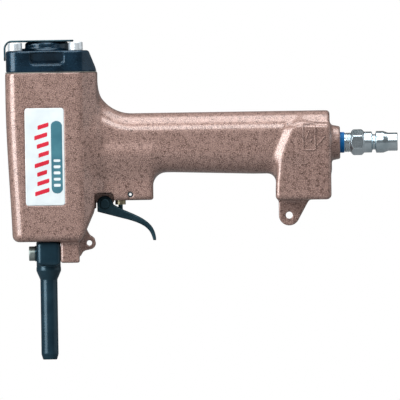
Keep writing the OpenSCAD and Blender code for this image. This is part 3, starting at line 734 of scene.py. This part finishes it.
plate_white = finish_of("plate_white", (0.66, 0.74, 0.77), (0.76, 0.83, 0.85), 0, 0.3,
                        (0.6, 0.62, 0.62), wear=0.3, grain=0.003, relief=0.05, coat=0.5)
red_ink = finish_of("red_ink", (0.55, 0.01, 0.03), (0.66, 0.02, 0.05), 0, 0.35,
                    (0.7, 0.2, 0.2), wear=0.2, grain=0.002, relief=0.05)
teal_ink = finish_of("teal_ink", (0.035, 0.14, 0.19), (0.06, 0.2, 0.25), 0, 0.35,
                     (0.2, 0.3, 0.35), wear=0.2, grain=0.002, relief=0.05)
points, faces = skin(lambda x, y, z: round_and(round_box(x, z, (-1.3, 121.65), (11.75, 29.2), 1.65),
                                               np.abs(y + 22.8) - 0.3, 0.12),
                     planes(-13.05, 10.45, 0.7, (-13.1, -11, 0.35), (8.4, 10.5, 0.35)),
                     planes(-23.1, -22.5, 0.12),
                     planes(92.45, 150.85, 0.7, (92.4, 94.5, 0.35), (148.8, 150.9, 0.35)))
new_piece("plate_blank", points, faces, "gun", ["name_plate"], plate_white)
flat_print(red_bars, "plate_red_bars", red_ink)
flat_print(teal_pill, "plate_teal_pill", teal_ink)


# ---- Trigger ------------------------------------------------------------------------------
# A lever with two cheeks that straddle the casting's lug, and a hooked blade for the finger.
# Investment-cast steel, painted satin black; the pin is turned and blackened.
lever_outline = np.concatenate([[(29.6, 93.5), (29.8, 88.2)],
                                bezier([(44, 84.3), (60, 80.5), (61.5, 76.5), (63, 70.6)]),
                                bezier([(64.8, 70.6), (64.6, 80.5), (58, 84), (46, 89)]),
                                [(39.6, 92.4), (38.5, 95.6)]])
slot_outline = np.array([(34.3, 88.1), (47.6, 87), (47.6, 92), (41, 101), (29, 101), (29, 93)])


def trigger_shape(x, y, z):
    """Distance to the lever: its outline made 11 wide, less the slot between the cheeks."""
    side = np.abs(y)
    from_pivot = np.hypot(x - lever_pivot[0], z - lever_pivot[1])
    lever = np.minimum(inside_outline(x, z, lever_outline), from_pivot - 4.7)
    slot = np.minimum(inside_outline(x, z, slot_outline), from_pivot - 4.9)
    lever = round_and(lever, side - 5.5, 0.8)
    lever = round_and(lever, -np.maximum(slot, side - 3.6), 0.3)
    return np.maximum(lever, 2.05 - from_pivot)


satin_black = finish_of("satin_black", (0.006, 0.018, 0.027), (0.017, 0.042, 0.056), 0.1, 0.36,
                        (0.10, 0.13, 0.15), wear=0.7, grain=0.0009, relief=0.35,
                        tint=(0.5, 0.85, 1))
points, faces = skin(trigger_shape, planes(29.4, 65.6, 0.5),
                     planes(-5.5, 5.5, 0.45, (3, 5.5, 0.3), (-5.5, -3, 0.3)), planes(70, 97.8, 0.5))
new_piece("trigger_lever_casting", points, faces, "trigger_lever", ["trigger"], satin_black)


def pin_shape(x, y, z):
    """Distance to the pivot pin: a domed head in front, a groove for its clip behind."""
    from_axis = np.hypot(x - lever_pivot[0], z - lever_pivot[1])
    pin = np.maximum(round_and(from_axis - 1.98, y - 7.5, 0.4), -6 - y)
    head = np.maximum(round_and(from_axis - 2.9, -7 - y, 0.6), y + 5.7)
    groove = np.maximum(1.42 - from_axis, np.abs(y - 6.2) - 0.4)
    return np.maximum(np.minimum(pin, head), -groove)


points, faces = skin(pin_shape, planes(31.1, 37.5, 0.3), planes(-7.3, 7.8, 0.3),
                     planes(89.8, 96.2, 0.3))
new_piece("trigger_pivot_pin", points, faces, "gun", ["trigger_pin"], black_oxide)


# ---- Air plug -----------------------------------------------------------------------------
# The quick plug that the air hose clicks onto: turned from hexagon bar, nickel plated, its
# thread wound with blue sealant where it enters the boss.
def plug_shape(x, y, z):
    """Distance to the plug: a turned profile, with a hexagon and a helical thread."""
    z = z - air_line_z
    from_axis = np.hypot(y, z)
    radius = np.interp(x, (163, 178.6, 182.7, 182.9, 190, 190.2, 194.9, 195.4, 197.1, 197.6, 201.8,
                           204.8, 210.5),
                       (5.5, 5.5, 5.5, 5, 5, 6.3, 6.3, 4.6, 4.6, 6.5, 6.5, 5.45, 5.45))
    turns = (x / 1.337 + np.arctan2(z, y) / (2 * np.pi)) % 1
    radius = radius + 0.9 * np.abs(turns - 0.5) * ((x > 178.6) & (x < 182.7))
    plug = round_and(round_and(from_axis - radius, x - 210.5, 0.5), 163 - x, 0.3)
    flats = np.maximum(np.abs(y), np.abs(y) / 2 + np.abs(z) * 0.866) - 6.7
    middle = np.abs(x - 186.45)
    hexagon = round_and(flats, middle - 3.85, 0.25)
    hexagon = np.maximum(hexagon, (from_axis - 7.1 + (middle - 3.2)) * 0.7)
    plug = np.minimum(plug, hexagon)
    return round_and(plug, 3.75 - from_axis, 0.25)


def seal_shape(x, y, z):
    """Distance to the sealant: a ring with a slack ripple along it."""
    from_axis = np.hypot(y, z - air_line_z)
    ripple = 0.09 * np.sin(x * 4.7 + np.arctan2(z - air_line_z, y))
    ring = round_and(from_axis - 6.22 - ripple, x - 178.5, 0.35)
    return np.maximum(np.maximum(ring, 168 - x), 5.52 - from_axis)


nickel_plate = finish_of("nickel_plate", (0.52, 0.64, 0.70), (0.70, 0.80, 0.86), 1, 0.24,
                         (0.75, 0.78, 0.8), wear=0.5, grain=0.0007, relief=0.12)
blue_sealant = finish_of("blue_sealant", (0.002, 0.10, 0.32), (0.006, 0.15, 0.44), 0, 0.5,
                         (0.05, 0.2, 0.5), wear=0.3, grain=0.0009, relief=0.4,
                         tint=(0.3, 0.7, 1))
across = (planes(-8.1, 8.1, 0.42), planes(119.4, 135.6, 0.42))
points, faces = skin(plug_shape, planes(163, 210.5, 0.8, (178, 205, 0.3), (209.5, 210.5, 0.3)), *across)
new_piece("quick_plug", points, faces, "gun", ["air_plug"], nickel_plate)
points, faces = skin(seal_shape, planes(168, 178.5, 1, (175, 178.6, 0.25)), *across)
new_piece("sealant_ring", points, faces, "gun", ["thread_seal"], blue_sealant)


# ---- Pieces whose CAD shape stays ---------------------------------------------------------
# Mostly inside the tool: each keeps its exact CAD surface and gets its real finish.
anodised = finish_of("anodised", (0.42, 0.43, 0.43), (0.55, 0.56, 0.56), 0.9, 0.35, (0.7, 0.7, 0.7))
brass = finish_of("brass", (0.34, 0.31, 0.2), (0.52, 0.47, 0.33), 0.9, 0.3, (0.75, 0.68, 0.48))
bronze = finish_of("bronze", (0.36, 0.2, 0.09), (0.48, 0.28, 0.13), 1, 0.38, (0.65, 0.42, 0.22))
ground_steel = finish_of("ground_steel", (0.42, 0.43, 0.44), (0.58, 0.59, 0.6), 1, 0.22, (0.75, 0.75, 0.75))
spring_steel = finish_of("spring_steel", (0.16, 0.16, 0.17), (0.3, 0.3, 0.31), 1, 0.35, (0.5, 0.5, 0.5))
rubber = finish_of("rubber", (0.012, 0.012, 0.013), (0.025, 0.025, 0.026), 0, 0.65, (0.06, 0.06, 0.06))
urethane = finish_of("urethane", (0.16, 0.09, 0.03), (0.24, 0.14, 0.05), 0, 0.5, (0.35, 0.25, 0.15))
acetal = finish_of("acetal", (0.74, 0.74, 0.7), (0.84, 0.84, 0.81), 0, 0.45, (0.9, 0.9, 0.88))
gasket_sheet = finish_of("gasket_sheet", (0.09, 0.10, 0.10), (0.2, 0.2, 0.18), 0, 0.8, (0.3, 0.3, 0.28))
sintered = finish_of("sintered", (0.2, 0.17, 0.12), (0.42, 0.36, 0.25), 0.9, 0.6, (0.5, 0.45, 0.35),
                     grain=0.0005, relief=1)
kept_nodes = {anodised: ("cylinder_sleeve", "piston"),
              brass: ("valve_body", "valve_cap"),
              bronze: ("driver_bush",),
              ground_steel: ("driver_rod", "driver_nut"),
              spring_steel: ("head_valve_spring", "valve_spring"),
              rubber: ("sleeve_o_rings", "check_ring", "piston_ring", "head_valve_o_ring",
                       "head_valve_seal", "boss_o_ring", "valve_o_rings", "stem_seal"),
              urethane: ("bumper",),
              acetal: ("head_valve",),
              gasket_sheet: ("cap_gasket",),
              sintered: ("muffler", "inlet_screen"),
              black_oxide: ("nose_washers", "pin_clip", "valve_stem", "valve_retaining_pin")}
for material, names in kept_nodes.items():
    for name in names:
        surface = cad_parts[name].data
        surface.materials.clear()
        surface.materials.append(material)


# ---- Floor --------------------------------------------------------------------------------
# The sheet of grey card that the tool stands over.
floor_mesh = bpy.data.meshes.new("floor")
floor_mesh.from_pydata([(-1, -1, 0), (1.2, -1, 0), (1.2, 1, 0), (-1, 1, 0)], [], [(0, 1, 2, 3)])
floor_mesh.materials.append(finish_of("grey_card", (0.22, 0.22, 0.22), (0.23, 0.23, 0.23), 0, 0.8,
                                      (0.22, 0.22, 0.22), wear=0, grain=0.002, relief=0.1))
floor = bpy.data.objects.new("floor", floor_mesh)
bpy.context.scene.collection.objects.link(floor)
